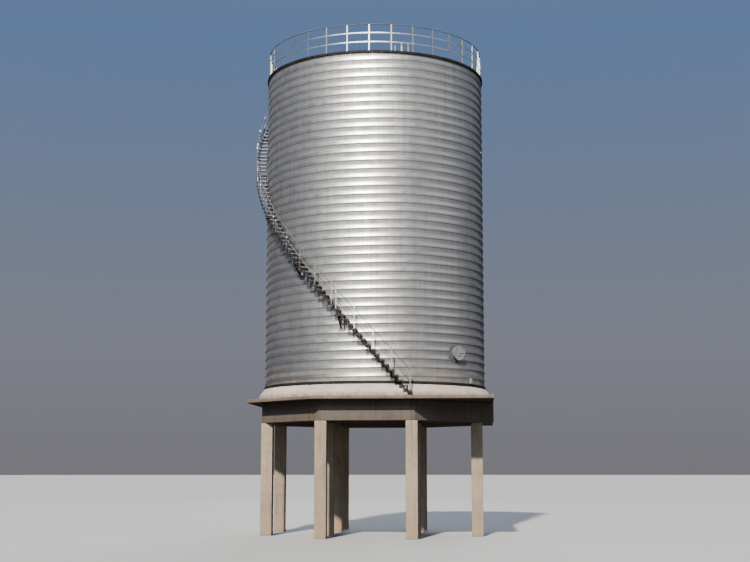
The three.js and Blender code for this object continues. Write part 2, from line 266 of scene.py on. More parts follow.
def cylinder(name, centre, along, radius, depth, sides):
    """A cylinder that lies along the given direction with its middle at centre."""
    turn = along.to_track_quat("Z", "Y").to_euler()
    bpy.ops.mesh.primitive_cylinder_add(vertices=sides, radius=radius, depth=depth, location=centre,
                                        rotation=turn)
    return settle(name)


def round_bar(name, start, end, radius, sides=10):
    """A round bar between two points, with its end edges eased."""
    start, end = Vector(start), Vector(end)
    span = end - start
    piece = cylinder(name, (start + end) / 2, span, radius, span.length, sides)
    return modify(piece, "BEVEL", width=radius * 0.15, limit_method="ANGLE", angle_limit=math.radians(60))


def grip(name, foot, across, out, leg_length, grip_height):
    """A bar grip on two legs that stand out at either side of foot."""
    foot, across, out = Vector(foot), Vector(across), Vector(out)
    middle = foot + out * grip_height
    hold = round_bar(name, middle - across * 0.07, middle + across * 0.07, 0.009)
    legs = [round_bar(name + "_leg", foot + across * side, foot + across * side + out * leg_length, 0.008)
            for side in (-0.066, 0.066)]
    return [hold, *legs]


def hex_bolt(name, centre, along, across=0.03, height=0.016):
    """A bolt head with a washer under it, standing along the given direction."""
    along = Vector(along).normalized()
    head = cylinder(name, Vector(centre) + along * (height / 2 + 0.003), along, across / 2, height, 6)
    washer = cylinder(name + "_washer", Vector(centre) + along * 0.002, along, across * 0.8, 0.004, 10)
    return join(name, [head, washer])


def upright_angle(name, face, leg, bottom, top, thick=0.006):
    """A post of angle iron along +X, with one leg facing outwards at the given radius."""
    half, inner = leg / 2, face - leg
    outline = [(face, -half, bottom), (face, half, bottom), (face - thick, half, bottom),
               (face - thick, thick - half, bottom), (inner, thick - half, bottom), (inner, -half, bottom)]
    return plate(name, outline, (0, 0, top - bottom))


def angle_iron(name, start, end, leg, thick):
    """An L-section bar between two points in the upright plane of +X."""
    start, end = Vector(start), Vector(end)
    outline = [(0, 0, 0), (0, leg, 0), (0, leg, -thick), (0, thick, -thick), (0, thick, -leg), (0, 0, -leg)]
    piece = plate(name, outline, ((end - start).length, 0, 0))
    piece.rotation_euler = (0, math.atan2(start.z - end.z, end.x - start.x), 0)
    piece.location = start
    return fix(piece)


def ring_points(radius, level, tube, sides=8):
    """The round section of a tube, as (radius, height) points."""
    turns = [math.tau * i / sides for i in range(sides)]
    return [(radius + tube * math.cos(turn), level + tube * math.sin(turn)) for turn in turns]


def flat_section(radius, level, depth, thick):
    """The section of a flat bar on edge, as (radius, height) points."""
    low, high = level - depth / 2, level + depth / 2
    return [(radius, low), (radius + thick, low), (radius + thick, high), (radius, high)]


def sweep(name, section, from_angle, to_angle, climb=0.0, steps=8):
    """A (radius, height) section that runs round the silo's axis and climbs evenly, with closed ends."""
    piece = draw_line(name, [(radius, 0, height) for radius, height in section])
    piece.rotation_euler = (0, 0, math.radians(from_angle))
    piece.location = AXIS
    modify(piece, "SCREW", angle=math.radians(to_angle - from_angle), screw_offset=climb,
           steps=steps, render_steps=steps, use_merge_vertices=False)
    edit_open_edges(piece)
    bpy.ops.mesh.fill_holes(sides=0)
    return clean(fix(piece))


# Finishes: small steps that the materials are mixed with
class Mix:
    """A material's node tree, with coordinates centred on the silo's axis at its base."""

    def __init__(self, name):
        self.material = bpy.data.materials.new(name)
        self.material.use_nodes = True
        self.tree = self.material.node_tree
        self.shader = self.tree.nodes["Principled BSDF"]
        place = self.add("ShaderNodeTexCoord").outputs["Object"]
        centre = self.add("ShaderNodeMapping", {"Vector": place, "Location": (-AXIS.x, -AXIS.y, -BASE)})
        self.place = centre.outputs["Vector"]
        parts = self.add("ShaderNodeSeparateXYZ", {"Vector": self.place})
        self.x, self.y, self.z = (parts.outputs[i] for i in range(3))

    def feed(self, socket, value):
        """Links a socket to another node, or sets it to a number, a vector or a colour."""
        if isinstance(value, bpy.types.NodeSocket):
            self.tree.links.new(value, socket)
        elif socket.type == "RGBA":
            socket.default_value = (*value, 1.0)
        else:
            socket.default_value = value

    def add(self, kind, inputs=None, **settings):
        made = self.tree.nodes.new(kind)
        for key, value in settings.items():
            setattr(made, key, value)
        for key, value in (inputs or {}).items():
            self.feed(made.inputs[key], value)
        return made

    def sum(self, operation, a, b=0.0, c=0.0):
        """One step of arithmetic."""
        return self.add("ShaderNodeMath", {0: a, 1: b, 2: c}, operation=operation).outputs[0]

    def times(self, a, b):
        return self.sum("MULTIPLY", a, b)

    def stretch(self, size):
        return self.add("ShaderNodeMapping", {"Vector": self.place, "Scale": size}).outputs["Vector"]

    def noise(self, scale, detail=4.0, rough=0.55, source=None, warp=0.0):
        made = self.add("ShaderNodeTexNoise", {"Vector": source or self.place, "Scale": scale,
                                               "Detail": detail, "Roughness": rough, "Distortion": warp})
        return made.outputs["Fac"]

    def spangle(self):
        """The zinc's crystals, each with a colour of its own."""
        return self.add("ShaderNodeTexVoronoi", {"Vector": self.place, "Scale": 26.0}).outputs["Color"]

    def own(self, number):
        """A steady random value for each whole number."""
        return self.add("ShaderNodeTexWhiteNoise", {"W": self.sum("FLOOR", number)},
                        noise_dimensions="1D").outputs["Value"]

    def ramp(self, value, low, high, to_low=0.0, to_high=1.0):
        """A soft step between two levels, as the value goes from low to high."""
        made = self.add("ShaderNodeMapRange", {"Value": value, "From Min": low, "From Max": high,
                                               "To Min": to_low, "To Max": to_high},
                        interpolation_type="SMOOTHSTEP")
        return made.outputs["Result"]

    def tint(self, share, a, b, blend="MIX"):
        """The first colour with a share of the second."""
        inputs = {0: share, 6: a, 7: b}
        return self.add("ShaderNodeMix", inputs, data_type="RGBA", blend_type=blend).outputs[2]

    def stain(self, base, pattern, low, high, most, colour):
        """Stains a colour where the pattern goes from low to high, by the most share at the high end."""
        return self.tint(self.ramp(pattern, low, high, 0.0, most), base, colour)

    def bump(self, height, strength, distance, under=None):
        inputs = {"Height": height, "Strength": strength, "Distance": distance}
        if under is not None:
            inputs["Normal"] = under
        return self.add("ShaderNodeBump", inputs).outputs["Normal"]

    def finish(self, colour, rough, metal, normal):
        values = {"Base Color": colour, "Roughness": rough, "Metallic": metal, "Normal": normal}
        for key, value in values.items():
            self.feed(self.shader.inputs[key], value)
        return self.material


# Tone of the shell's gloss where it turns away at its edges
EDGE_TINT = (0.4, 0.4, 0.4)


def banded_sheet():
    """Weathered galvanised strip: each turn of the spiral has its own tone, with dirt and painted shade under
    the seams.
    """
    m = Mix("banded_galvanised_sheet")
    turns = m.sum("DIVIDE", m.sum("ARCTAN2", m.y, m.x), math.tau)
    start = SEAM_LEVEL - PITCH * SEAM_AZIMUTH / 360
    climb = m.sum("DIVIDE", m.sum("SUBTRACT", m.z, m.sum("MULTIPLY_ADD", turns, PITCH, start)), PITCH)
    band = m.sum("FRACT", climb)
    strip = m.sum("ADD", m.sum("FLOOR", climb), turns)
    along = m.add("ShaderNodeCombineXYZ", {0: m.times(strip, 7.3)}).outputs[0]
    lengthwise = m.noise(0.55, 3.0, 0.6, along)
    clouds = m.noise(0.28, 3.0, 0.55)
    warm = m.noise(0.19, 2.0, 0.5, m.stretch((1, 1, 0.6)), 0.4)
    streaks = m.noise(1.0, 4.0, 0.65, m.stretch((5.5, 5.5, 0.22)))
    mottle = m.noise(2.6, 5.0, 0.7)
    spangle = m.spangle()
    under_seam = m.ramp(band, 0.24, 0.62)
    on_seam = m.sum("MAXIMUM", m.ramp(band, 0.93, 0.96), m.ramp(band, 0.07, 0.04))
    ledge = m.ramp(band, 0.17, 0.06)

    base = m.tint(m.ramp(clouds, 0.35, 0.65), (0.40, 0.405, 0.41), (0.56, 0.56, 0.545))
    base = m.stain(base, warm, 0.47, 0.68, 0.5, (0.41, 0.355, 0.31))
    base = m.stain(base, lengthwise, 0.35, 0.68, 0.55, (0.56, 0.56, 0.55))
    base = m.stain(base, streaks, 0.52, 0.74, 0.35, (0.27, 0.265, 0.255))
    base = m.stain(base, mottle, 0.5, 0.75, 0.22, (0.30, 0.28, 0.25))
    base = m.tint(0.10, base, spangle, "OVERLAY")
    # The dark band below each seam is partly dirt and partly painted shade, standing in for the seam's shadow
    # and its dark reflection.
    seam_shade_and_dirt = m.times(under_seam, m.ramp(streaks, 0.25, 0.65, 0.80, 1.0))
    base = m.tint(seam_shade_and_dirt, base, (0.175, 0.176, 0.175))
    base = m.tint(m.times(ledge, 0.35), base, (0.16, 0.15, 0.14))
    base = m.tint(m.times(on_seam, 0.35), base, (0.34, 0.34, 0.34))
    foot = m.times(m.ramp(m.z, 1.1, 0.05), m.ramp(mottle, 0.35, 0.65, 0.25, 0.8))
    base = m.tint(foot, base, (0.36, 0.32, 0.27))
    rough = m.sum("ADD", m.ramp(mottle, 0.3, 0.7, 0.33, 0.42), m.times(seam_shade_and_dirt, 0.28))
    normal = m.bump(m.noise(1.0, 3.0, 0.5, m.stretch((1.1, 1.1, 2.4))), 0.30, 0.02)
    normal = m.bump(m.noise(38.0, 2.0, 0.5), 0.10, 0.004, normal)
    m.feed(m.shader.inputs["Specular Tint"], EDGE_TINT)
    return m.finish(base, rough, m.ramp(seam_shade_and_dirt, 0.2, 0.9, 0.97, 0.85), normal)


def roof_sheet():
    """Galvanised roof sheet: each sheet has its own tone, with dust, runs and rust near the crown."""
    m = Mix("roof_galvanised_sheet")
    own = m.own(m.times(m.sum("ARCTAN2", m.y, m.x), SEAM_COUNT / math.tau))
    radius = m.add("ShaderNodeVectorMath", {0: m.stretch((1, 1, 0))}, operation="LENGTH").outputs["Value"]
    runs = m.noise(1.0, 4.0, 0.6, m.stretch((3.0, 3.0, 1.0)))
    dust = m.noise(0.7, 5.0, 0.6)
    base = m.tint(own, (0.42, 0.42, 0.41), (0.56, 0.56, 0.545))
    base = m.stain(base, runs, 0.45, 0.75, 0.5, (0.33, 0.32, 0.30))
    base = m.stain(base, dust, 0.45, 0.70, 0.6, (0.50, 0.46, 0.40))
    rust = m.times(m.ramp(radius, 1.2, 0.3), m.ramp(runs, 0.4, 0.7))
    base = m.tint(rust, base, (0.30, 0.17, 0.09))
    base = m.tint(0.08, base, m.spangle(), "OVERLAY")
    normal = m.bump(m.noise(2.2, 3.0, 0.5), 0.25, 0.02)
    return m.finish(base, m.ramp(dust, 0.3, 0.7, 0.42, 0.62), 0.75, normal)


def dark_steel():
    """Old dark paint, dusty, with rust coming through."""
    m = Mix("dark_painted_steel")
    patches = m.noise(3.2, 6.0, 0.65)
    fine = m.noise(17.0, 5.0, 0.65)
    runs = m.noise(1.0, 4.0, 0.6, m.stretch((9.0, 9.0, 0.8)))
    base = m.tint(m.ramp(patches, 0.35, 0.65), (0.009, 0.0085, 0.0085), (0.022, 0.018, 0.016))
    rust = m.times(m.ramp(fine, 0.5, 0.66), m.ramp(patches, 0.42, 0.6))
    base = m.tint(rust, base, (0.042, 0.020, 0.012))
    base = m.stain(base, runs, 0.56, 0.78, 0.35, (0.065, 0.054, 0.046))
    m.shader.inputs["Specular IOR Level"].default_value = 0.12
    return m.finish(base, m.ramp(fine, 0.3, 0.7, 0.55, 0.82), 0.0, m.bump(fine, 0.35, 0.006))


def coated_steel(name, low, high, spot, metal, rough):
    """Weathered coating in clouds of two tones, with rusty spots; rough is the range of its roughness."""
    m = Mix(name)
    cloud = m.noise(1.7, 4.0, 0.6)
    fine = m.noise(24.0, 4.0, 0.6)
    base = m.tint(m.ramp(cloud, 0.35, 0.65), low, high)
    base = m.stain(base, fine, 0.60, 0.74, 0.6, spot)
    m.shader.inputs["Specular IOR Level"].default_value = 0.3
    return m.finish(base, m.ramp(fine, 0.3, 0.7, *rough), metal, m.bump(fine, 0.2, 0.004))


def darker(tone, share):
    return tuple(part * share for part in tone)


def cast_concrete(name, light, mid, stain, boards):
    """Board-marked concrete; boards is the axis along which one board follows the next."""
    m = Mix(name)
    clouds = m.noise(0.55, 5.0, 0.6)
    mottle = m.noise(3.4, 6.0, 0.65)
    grain = m.noise(34.0, 4.0, 0.6)
    runs = m.noise(1.0, 5.0, 0.65, m.stretch((7.0, 7.0, 0.35)))
    height = m.sum("ADD", m.z, BASE - GROUND)
    if boards == "z":
        line = m.sum("DIVIDE", height, 0.17)
    else:
        line = m.sum("DIVIDE", m.sum("ADD", m.x, m.y), 0.125)
    board = m.sum("FRACT", line)
    own = m.own(line)
    joint = m.sum("MAXIMUM", m.ramp(board, 0.06, 0.0), m.ramp(board, 0.94, 1.0))

    base = m.tint(m.ramp(clouds, 0.36, 0.64), mid, light)
    base = m.tint(m.times(own, 0.28), base, mid)
    base = m.stain(base, mottle, 0.46, 0.72, 0.55, stain)
    base = m.stain(base, runs, 0.50, 0.72, 0.55, darker(stain, 0.62))
    base = m.tint(m.times(joint, 0.35), base, darker(stain, 0.5))
    base = m.stain(base, grain, 0.58, 0.74, 0.30, darker(mid, 0.45))
    splash = m.times(m.ramp(height, 1.15, 0.05), m.ramp(mottle, 0.32, 0.62, 0.35, 1.0))
    base = m.tint(m.times(splash, 0.8), base, (0.30, 0.205, 0.13))
    normal = m.bump(m.sum("MULTIPLY_ADD", joint, -0.7, m.times(own, 0.5)), 0.45, 0.008)
    normal = m.bump(mottle, 0.30, 0.02, normal)
    normal = m.bump(grain, 0.35, 0.006, normal)
    return m.finish(base, m.ramp(grain, 0.3, 0.7, 0.82, 0.95), 0.0, normal)


def curb_mortar():
    """Rough pale mortar with pinkish and grey patches and stains that run outwards."""
    m = Mix("pale_curb_mortar")
    clouds = m.noise(0.8, 5.0, 0.6)
    mottle = m.noise(4.2, 6.0, 0.68)
    grain = m.noise(26.0, 4.0, 0.6)
    runs = m.noise(1.0, 4.0, 0.6, m.stretch((3.2, 3.2, 0.5)))
    base = m.tint(m.ramp(clouds, 0.36, 0.64), (0.42, 0.34, 0.285), (0.52, 0.45, 0.385))
    base = m.stain(base, mottle, 0.48, 0.72, 0.55, (0.36, 0.29, 0.235))
    base = m.stain(base, runs, 0.54, 0.74, 0.5, (0.29, 0.205, 0.145))
    low = m.times(m.ramp(m.z, -0.27, -0.45), m.ramp(mottle, 0.3, 0.6, 0.3, 0.9))
    base = m.tint(low, base, (0.22, 0.145, 0.095))
    high = m.times(m.ramp(m.z, -0.035, 0.0), 0.6)
    base = m.tint(high, base, (0.30, 0.26, 0.22))
    normal = m.bump(grain, 0.4, 0.01, m.bump(mottle, 0.6, 0.03))
    return m.finish(base, 0.9, 0.0, normal)


def slab_concrete():
    """The thin deck slab: an orange-brown stained edge, with painted shade darkening its lower edge and
    underside.
    """
    m = Mix("deck_slab_concrete")
    clouds = m.noise(0.7, 5.0, 0.6)
    mottle = m.noise(5.0, 6.0, 0.66)
    grain = m.noise(30.0, 4.0, 0.6)
    runs = m.noise(1.0, 4.0, 0.6, m.stretch((8.0, 8.0, 1.2)))
    depth = m.sum("SUBTRACT", m.z, DECK - BASE)
    base = m.tint(m.ramp(clouds, 0.36, 0.64), (0.135, 0.100, 0.073), (0.185, 0.142, 0.108))
    base = m.stain(base, mottle, 0.46, 0.70, 0.7, (0.15, 0.085, 0.048))
    base = m.stain(base, runs, 0.48, 0.70, 0.6, (0.070, 0.048, 0.034))
    # Painted shade: the slab's lower edge and underside are darkened nearly to black.
    base = m.stain(base, depth, -0.105, -0.155, 0.85, (0.030, 0.025, 0.022))
    normal = m.bump(grain, 0.4, 0.008, m.bump(mottle, 0.5, 0.02))
    return m.finish(base, 0.9, 0.0, normal)


BANDED = banded_sheet()
ROOF = roof_sheet()
DARK = dark_steel()
PALE = coated_steel("pale_galvanised_steel", (0.26, 0.265, 0.27), (0.38, 0.38, 0.375),
                    spot=(0.20, 0.14, 0.095), metal=0.95, rough=(0.40, 0.54))
TUBE = coated_steel("grey_tube_paint", (0.070, 0.076, 0.085), (0.105, 0.110, 0.118),
                    spot=(0.09, 0.055, 0.038), metal=0.0, rough=(0.50, 0.70))
GRATING = coated_steel("dusty_grating", (0.17, 0.155, 0.14), (0.25, 0.235, 0.22),
                       spot=(0.12, 0.066, 0.04), metal=0.2, rough=(0.55, 0.75))
DULL = coated_steel("dull_grey_coat", (0.205, 0.205, 0.185), (0.275, 0.272, 0.25),
                    spot=(0.15, 0.11, 0.08), metal=0.15, rough=(0.45, 0.60))
VENT = coated_steel("pale_vent_coat", (0.52, 0.52, 0.50), (0.62, 0.62, 0.60),
                    spot=(0.30, 0.24, 0.19), metal=0.1, rough=(0.45, 0.60))
COLUMN = cast_concrete("column_concrete", (0.345, 0.272, 0.19), (0.265, 0.203, 0.14),
                       stain=(0.19, 0.137, 0.093), boards="x")
BEAM = cast_concrete("beam_concrete", (0.118, 0.088, 0.067), (0.096, 0.071, 0.054),
                     stain=(0.070, 0.050, 0.037), boards="z")
CURB = curb_mortar()
SLAB = slab_concrete()


def hand_over(piece, material, nodes):
    """Gives a finished piece its material and body, and hides the solids that it stands for."""
    piece.data.materials.clear()
    piece.data.materials.append(material)
    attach(piece, "root")
    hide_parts(*nodes)


# Shell: one strip that is screwed up the wall, with its folded seam standing out
LINING_RADIUS = 4.862
SHELL_FOOT = BASE + 0.002
SHELL_HEAD = RIM - 0.032
STRIP_TURNS = 41
TURN_STEPS = 120


def shell():
    """The strip's section goes by how far it stands out, and by the share of a pitch above its seam."""
    proud = [(0.001, -0.5), (0.002, -0.30), (0.007, -0.13), (0.012, -0.066), (0.022, -0.060), (0.027, -0.040),
             (0.027, 0.035), (0.020, 0.055), (0.012, 0.061), (0.007, 0.13), (0.002, 0.30), (0.001, 0.5)]
    first_turn = -3
    level = BASE + SEAM_LEVEL + first_turn * PITCH
    points = [(SHELL_RADIUS + out, 0, level + share * PITCH) for out, share in proud]
    wall = draw_line("shell_strip", points, closed=False)
    wall.rotation_euler = (0, 0, math.radians(SEAM_AZIMUTH))
    wall.location = AXIS
    modify(wall, "SCREW", angle=math.tau, screw_offset=PITCH, iterations=STRIP_TURNS, steps=TURN_STEPS,
           render_steps=TURN_STEPS, use_merge_vertices=False)
    clean(fix(wall))
    cut_through(wall, (0, 0, SHELL_FOOT), clear_inner=True)
    cut_through(wall, (0, 0, SHELL_HEAD), clear_outer=True)
    height, middle = SHELL_HEAD - SHELL_FOOT, (SHELL_HEAD + SHELL_FOOT) / 2
    bpy.ops.mesh.primitive_cylinder_add(vertices=TURN_STEPS, radius=LINING_RADIUS, depth=height,
                                        end_fill_type="NOTHING", location=on_axis(middle))
    wall = join("shell_wall", [wall, settle("shell_lining")])
    for level in (SHELL_FOOT, SHELL_HEAD):
        edit_open_edges(wall)
        bpy.ops.object.mode_set(mode="OBJECT")
        vertices = wall.data.vertices
        for edge in wall.data.edges:
            on_level = all(abs(vertices[i].co.z - level) < 0.001 for i in edge.vertices)
            edge.select = edge.select and on_level
        edit(wall, "EDGE")
        bpy.ops.mesh.bridge_edge_loops()
    return smooth(clean(wall), 40)


hand_over(shell(), BANDED, [f"shell_segment_{i}" for i in range(1, 9)])


# Rings: the angles round the foot and the top of the shell, with their clips and splices
RING_INNER = 4.912
CLIP_COUNT = 48
SPLICE_COUNT = 16
FIRST_SPLICE = 5.6


def base_ring():
    profile = [(RING_INNER, 0.0), (4.957, 0.0), (4.957, 0.012), (4.932, 0.014), (4.930, 0.118), (4.926, 0.12),
               (RING_INNER, 0.12)]
    ring = turned("base_ring_angle", profile, on_axis(BASE + 0.002))
    clip = bar("base_clip", (0.012, 0.06, 0.10), (4.934, 0, BASE + 0.06), edge=0.003)
    clips = repeat_round(swing(clip, 180 / CLIP_COUNT), CLIP_COUNT)
    return smooth(join("base_ring_angle", [ring, clips]))


def eave_ring():
    profile = [(RING_INNER, -0.10), (4.950, -0.10), (4.954, -0.096), (4.954, -0.004), (4.950, 0.0),
               (4.72, 0.0), (4.70, 0.006), (4.70, -0.03), (RING_INNER, -0.03)]
    ring = turned("eave_ring_angle", profile, on_axis(RIM))
    splice = bar("eave_splice", (0.006, 0.26, 0.08), (4.957, 0, RIM - 0.05), edge=0.002)
    bolt = hex_bolt("eave_bolt", (4.951, -0.09, RIM - 0.072), OUT, across=0.026, height=0.006)
    bolts = repeat_along(repeat_along(bolt, 4, (0, 0.06, 0)), 2, (0, 0, 0.044))
    splices = repeat_round(swing(join("eave_splice", [splice, bolts]), FIRST_SPLICE), SPLICE_COUNT)
    return smooth(join("eave_ring_angle", [ring, splices]))


hand_over(base_ring(), DARK, ["base_ring"])
hand_over(eave_ring(), DARK, ["eave_ring"])


# Roof: lapped sheets with standing seams, the crown with its bolted lid, and the vents
ROOF_EDGE = 4.6997
ROOF_SLOPE = math.radians(12.0)
FIRST_SEAM = 2.5
CROWN_RADIUS = 0.35
CROWN_STEPS = 48
SHEET_LAP = 0.006


def roof_level(radius):
    return (ROOF_EDGE - radius) * math.tan(ROOF_SLOPE)


def roof():
    profile = [(ROOF_EDGE, -0.035), (ROOF_EDGE, -SHEET_LAP)]
    for outer, inner in ((ROOF_EDGE, 3.25), (3.30, 1.80), (1.85, CROWN_RADIUS)):
        profile += [(outer, roof_level(outer) - SHEET_LAP / 2), (inner, roof_level(inner) - SHEET_LAP)]
    profile.append((CROWN_RADIUS, roof_level(CROWN_RADIUS) - 0.035))
    sheets = turned("roof_sheets", profile, on_axis(RIM), steps=4 * SEAM_COUNT)
    outer, inner = ROOF_EDGE - 0.015, CROWN_RADIUS + 0.03
    length = (outer - inner) / math.cos(ROOF_SLOPE)
    middle = (outer + inner) / 2
    seam = bar("roof_seam", (length, 0.016, 0.036), (middle, 0, RIM + roof_level(middle) + 0.008),
               turn=(0, ROOF_SLOPE, 0), edge=0.005, segments=2)
    seams = repeat_round(swing(seam, FIRST_SEAM), SEAM_COUNT)
    return smooth(join("roof_sheets", [sheets, seams]), 30)


def roof_crown():
    foot = on_axis(RIM + roof_level(CROWN_RADIUS))
    profile = [(0.332, -0.04), (0.344, -0.04), (0.349, 0.006), (0.344, 0.012), (0.344, 0.150), (0.405, 0.152),
               (0.405, 0.172), (0.332, 0.172)]
    collar = turned("crown_collar", profile, foot, steps=CROWN_STEPS)
    profile = [(0.0, 0.174), (0.42, 0.174), (0.42, 0.190), (0.416, 0.194), (0.352, 0.195), (0.30, 0.208),
               (0.18, 0.219), (0.0, 0.224)]
    lid = turned("crown_lid", profile, foot, steps=CROWN_STEPS)
    bolt = hex_bolt("crown_bolt", foot + Vector((0.384, 0, 0.194)), UP, across=0.028, height=0.014)
    bolts = repeat_round(bolt, 16)
    hold = grip("crown_grip", foot + Vector((0, 0, 0.205)), OUT, UP, leg_length=0.053, grip_height=0.053)
    return smooth(join("crown_cap", [collar, lid, bolts, *hold]))


def roof_vents():
    """Three short capped pipes on one foot plate, with the thickest in the middle."""
    middle_angle, middle_radius = -71.5, 4.741
    foot = RIM + 0.001
    section = [(4.702, foot), (4.78, foot), (4.78, foot + 0.013), (4.777, foot + 0.016),
               (4.705, foot + 0.016), (4.702, foot + 0.013)]
    parts = [sweep("vent_foot", section, middle_angle - 5, middle_angle + 5)]
    for turn, radius, height in ((-3.5, 0.018, 0.338), (0.0, 0.044, 0.438), (3.5, 0.018, 0.368)):
        top = height - 0.002
        neck = radius * 0.84
        profile = [(0.0, 0.0), (radius * 1.5, 0.0), (radius * 1.5, 0.018), (radius * 1.28, 0.026),
                   (neck, 0.034), (neck, top - 0.066), (radius, top - 0.062), (radius, top - 0.006),
                   (radius * 0.88, top), (0.0, top)]
        place = AXIS + polar(middle_radius, middle_angle + turn, foot + 0.012)
        parts.append(turned("vent_pipe", profile, place, steps=16))
    return smooth(join("vent_pipes", parts))


hand_over(roof(), ROOF, ["roof_cone"])
hand_over(roof_crown(), DARK, ["roof_crown"])
hand_over(roof_vents(), VENT, ["roof_vents"])


# Roof railing: flat middle rails and a tube on top, bolted to posts of angle iron
RAIL_LEVELS = (0.40, 0.80)
TOP_LEVEL = 1.179
TOP_TUBE = 0.021
POST_LEG = 0.050
POST_FACE = 4.862
POST_INSET = math.degrees((POST_LEG / 2 + 0.003) / RAIL_RADIUS)


def railing_post():
    """One post standing on the rim along +X: foot plate, bolts, angle iron and its rail bolts."""
    iron = upright_angle("rail_post", POST_FACE, POST_LEG, RIM + 0.010, RIM + TOP_LEVEL)
    foot = bar("rail_foot", (0.12, 0.12, 0.010), (RAIL_RADIUS, 0, RIM + 0.0055), edge=0.003)
    bolt = hex_bolt("rail_bolt", (RAIL_RADIUS - 0.045, -0.045, RIM + 0.010), UP, 0.022, 0.012)
    bolts = repeat_along(repeat_along(bolt, 2, (0.09, 0, 0)), 2, (0, 0.09, 0))
    heads = [hex_bolt("rail_head", (POST_FACE + 0.006, 0, RIM + level), OUT, 0.020, 0.007)
             for level in RAIL_LEVELS]
    return join("rail_post", [iron, foot, bolts, *heads])


def roof_railing(number, first_bay, bays, post):
    start = RAIL_FIRST + RAIL_BAY * first_bay
    end = start + RAIL_BAY * bays - POST_INSET
    rails = [sweep("rail_bar", flat_section(POST_FACE, RIM + level, 0.048, 0.006), start, end, steps=5 * bays)
             for level in RAIL_LEVELS]
    posts = [repeat_round(swing(copy_of(post, "rail_posts"), start), bays, RAIL_BAY)]
    if number == len(PANEL_BAYS):
        posts.append(swing(copy_of(post, "rail_last_post"), end - POST_INSET))
    railing = smooth(join(f"rim_railing_{number}", rails + posts))
    hand_over(railing, PALE, [f"roof_railing_{number}"])
    section = ring_points(RAIL_RADIUS + 0.004, RIM + TOP_LEVEL, TOP_TUBE, sides=10)
    tube = smooth(sweep(f"rim_top_tube_{number}", section, start, end, steps=5 * bays))
    hand_over(tube, TUBE, [f"roof_railing_{number}"])


def roof_railings():
    post = railing_post()
    first_bay = OPEN_BAY + 1
    for number, bays in enumerate(PANEL_BAYS, start=1):
        roof_railing(number, first_bay, bays, post)
        first_bay += bays
    bpy.data.objects.remove(post)


roof_railings()


# Stair: cut strings, grating treads and knee brackets, flight by flight, and the rails on it
THROAT = 0.075
TOOTH = 0.38
BRACKET_DROP = 0.094
BRACKET_WALL = SHELL_RADIUS + 0.022
FIRST_BRACKET = 16
BRACKET_EVERY = 11
TREAD_DEPTH = 0.176
STRING_THICK = 0.010
OUTER_STRING = STAIR_OUTER - 0.015
INNER_STRING = STAIR_INNER + 0.006
TREAD_INNER = STAIR_INNER + 0.013
LOW_TREADS = 2
LOW_TREAD_INNER = 5.205
HAND_TUBE = 0.022
HAND_POST = 0.018
POST_EVERY = 4


def tread_start(index):
    return STAIR_START - TREAD_ANGLE * index


def tread_level(index):
    return DECK + RISER * (index + 1)


def grating_tread(inner):
    """One tread along +X with its top at level 0: bearing bars, cross rods, nosing and bolted end plates."""
    outer = OUTER_STRING - STRING_THICK / 2 - 0.001
    length, middle, half = outer - inner, (outer + inner) / 2, TREAD_DEPTH / 2
    bearing = bar("bearing_bar", (length, 0.005, 0.030), (middle, -half + 0.012, -0.019))
    bearers = repeat_along(bearing, 7, (0, 0.0215, 0))
    rod = bar("cross_rod", (0.006, TREAD_DEPTH, 0.006), (inner + 0.03, 0, -0.008))
    rods = repeat_along(rod, 6, ((length - 0.06) / 5, 0, 0))
    lip = [(-0.032, -0.003), (0, -0.003), (0.003, -0.008), (0.003, -0.044), (-0.003, -0.044),
           (-0.003, -0.011), (-0.032, -0.011)]
    nosing = plate("nosing", [(inner, half + out, level) for out, level in lip], (length, 0, 0))
    back = bar("tread_back", (length, 0.005, 0.036), (middle, -half, -0.022))
    ends = [bar("tread_end", (0.006, TREAD_DEPTH, 0.052), (place, 0, -0.030), edge=0.002)
            for place in (inner + 0.003, outer - 0.003)]
    bolt = hex_bolt("tread_bolt", (OUTER_STRING + STRING_THICK / 2, -0.05, -0.034), OUT, 0.022, 0.006)
    bolts = repeat_along(bolt, 2, (0, 0.10, 0))
    return join("grating_tread", [bearers, rods, nosing, back, *ends, bolts])


def tread_row(inner, begin, count):
    """Treads with their inner ends at the given radius, one riser above the other."""
    tread = swing(grating_tread(inner), tread_start(begin) - TREAD_ANGLE / 2, tread_level(begin))
    return repeat_round(tread, count, -TREAD_ANGLE, RISER)


def cut_string(name, radius, first, count, foot):
    """A sawtooth string: one riser's sheet is repeated up the stair and then given its thickness. The lowest
    string is cut off level at foot."""
    corners = [(0, -THROAT), (0, 0.0), (0, RISER), (1, RISER), (1, RISER - THROAT), (TOOTH, RISER - THROAT),
               (TOOTH, -THROAT)]
    sheet = draw_line(name, [polar(radius, -TREAD_ANGLE * share, level) for share, level in corners])
    with whole(sheet):
        bpy.ops.mesh.edge_face_add()
    swing(sheet, tread_start(first), DECK + RISER * first)
    repeat_round(sheet, count, -TREAD_ANGLE, RISER, merge=True)
    if first == 0:
        cut_through(sheet, (0, 0, foot), clear_inner=True)
    clean(sheet)
    return clean(modify(sheet, "SOLIDIFY", thickness=STRING_THICK, offset=0.0, use_even_offset=True))


def bracket_place(index):
    """Angle and level of the bracket arm behind the given tread."""
    return tread_start(index), tread_level(index - 1) - BRACKET_DROP


def knee_bracket(angle, top):
    """An angle-iron arm and strut from a wall plate to under the strings."""
    wall, reach = BRACKET_WALL, OUTER_STRING - 0.006
    arm = angle_iron("bracket_arm", (wall, -0.035, 0), (reach, -0.035, 0), 0.07, 0.008)
    strut = angle_iron("bracket_strut", (wall + 0.005, -0.028, -0.495), (reach - 0.02, -0.028, -0.02),
                       0.056, 0.007)
    corners = [(0.15, -0.006), (0.01, -0.006), (0.01, -0.05), (0.15, -0.15)]
    outline = [(reach - back, -0.026, level) for back, level in corners]
    gusset = plate("bracket_gusset", outline, (0, 0.008, 0))
    return swing(join("knee_bracket", [arm, strut, gusset]), angle, top)


